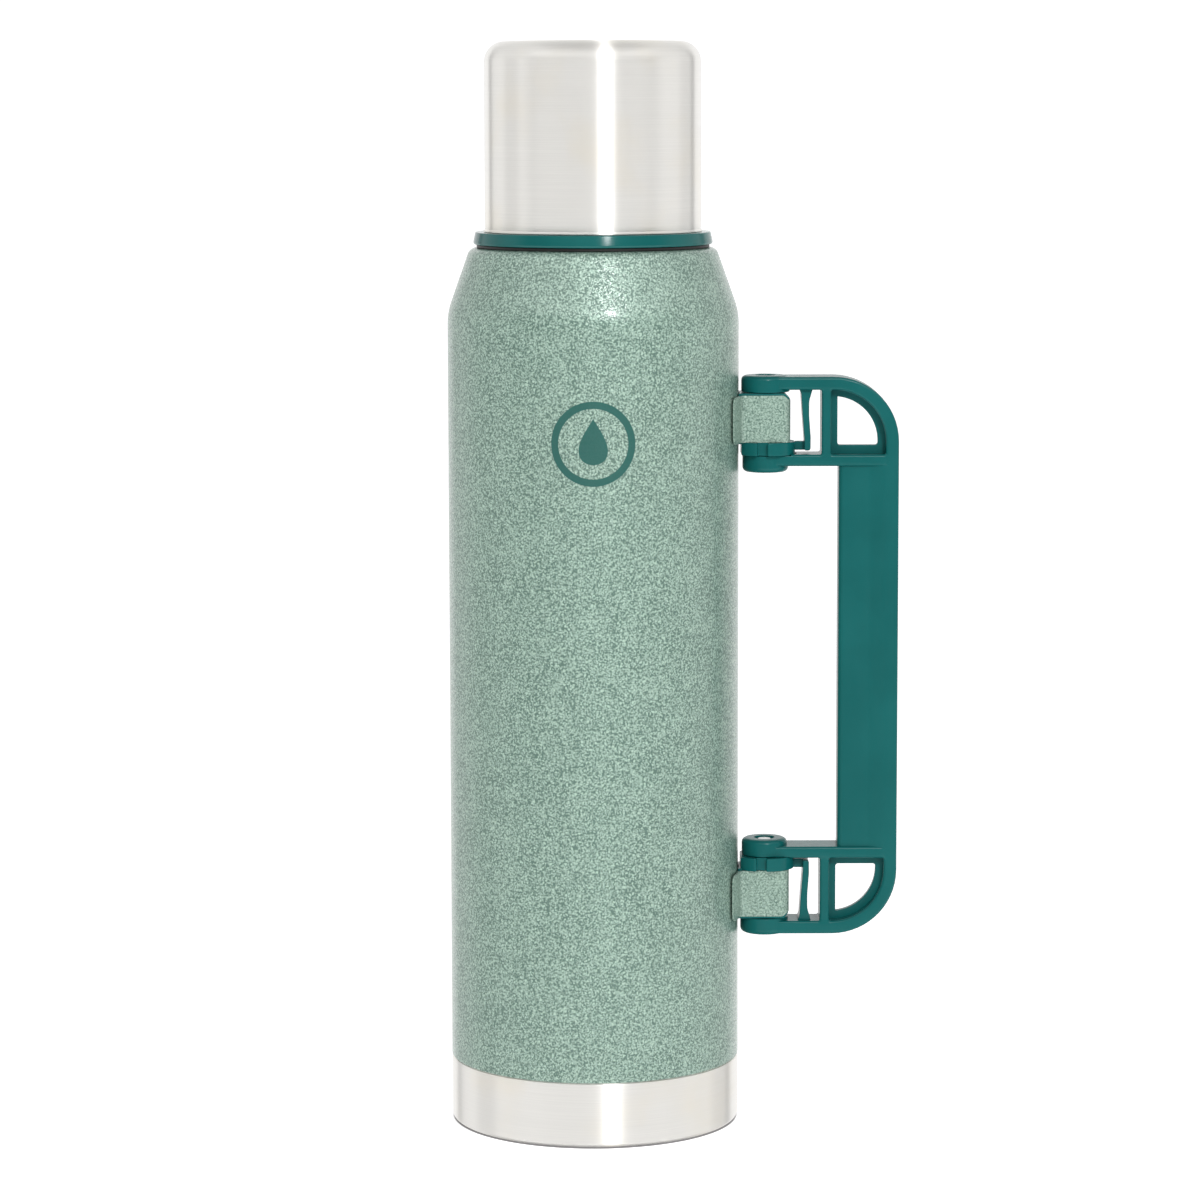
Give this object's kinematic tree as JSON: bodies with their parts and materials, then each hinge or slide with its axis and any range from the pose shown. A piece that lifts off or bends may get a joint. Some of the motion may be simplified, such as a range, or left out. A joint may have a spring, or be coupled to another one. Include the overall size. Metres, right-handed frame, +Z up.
{
  "type": "vacuum flask",
  "caption": "Tall painted steel vacuum flask with a screw-on steel cup, a screw stopper under it and a side handle on hinges that folds to either side.",
  "frame": {"origin": "on the flask's axis, at the level of the foot it stands on", "axes": "+Z up along the flask's axis, +X towards the handle in its locked middle position, +Y away from a viewer who has the handle on the right"},
  "size_m": [0.1549, 0.1, 0.3736],
  "materials": {
    "hammertone_paint": "gloss",
    "brushed_outer": "satin",
    "steel_inner": "satin",
    "pin_steel": "polished",
    "handle_plastic": "satin",
    "collar_plastic": "gloss",
    "liner_plastic": "satin",
    "stopper_plastic": "satin",
    "seal_rubber": "matte",
    "foil": "gloss",
    "braze": "matte",
    "foam": "matte"
  },
  "bodies": {
    "flask": {"outer_shell": "hammertone_paint", "base_cup": "brushed_outer", "base_disc": "brushed_outer", "vacuum_seal": "braze", "inner_vessel": "steel_inner", "inner_base": "steel_inner", "radiation_foil": "foil", "getter": "braze", "collar_gasket": "seal_rubber", "neck_collar": "collar_plastic", "upper_bracket": "hammertone_paint", "lower_bracket": "hammertone_paint", "upper_hinge_insert": "handle_plastic", "lower_hinge_insert": "handle_plastic"},
    "handle": {"handle_frame": "handle_plastic", "upper_hinge_pin": "pin_steel", "lower_hinge_pin": "pin_steel", "upper_detent_leaf": "handle_plastic", "lower_detent_leaf": "handle_plastic"},
    "cup_lifter": {"cup_gasket": "seal_rubber"},
    "cup": {"cup_shell": "brushed_outer", "cup_liner": "liner_plastic"},
    "stopper_lifter": {"stopper_seal": "seal_rubber"},
    "stopper": {"stopper_body": "stopper_plastic", "stopper_knob": "stopper_plastic", "stopper_core": "foam"}
  },
  "joints": [
    {"name": "handle_swing", "type": "hinge", "parent": "flask", "child": "handle", "pos_m": [0.0592, 0, 0.162], "axis": [0, 0, 1], "range_deg": [-98, 98], "deforming": ["upper_detent_leaf", "lower_detent_leaf"]},
    {"name": "cup_lift", "type": "slide", "parent": "flask", "child": "cup_lifter", "axis": [0, 0, 1], "range_m": [0, 0.0721]},
    {"name": "cup_turn", "type": "hinge", "parent": "cup_lifter", "child": "cup", "pos_m": [0, 0, 0.34], "axis": [0, 0, 1], "range_deg": [0, 2160]},
    {"name": "stopper_lift", "type": "slide", "parent": "flask", "child": "stopper_lifter", "axis": [0, 0, 1], "range_m": [0, 0.0331]},
    {"name": "stopper_turn", "type": "hinge", "parent": "stopper_lifter", "child": "stopper", "pos_m": [0, 0, 0.31], "axis": [0, 0, 1], "range_deg": [0, 1980]}
  ],
  "couplings": [
    {"joint": "cup_lift", "follows": "cup_turn", "m_per_rad": 0.0019099},
    {"joint": "stopper_lift", "follows": "stopper_turn", "m_per_rad": 0.00095493}
  ]
}
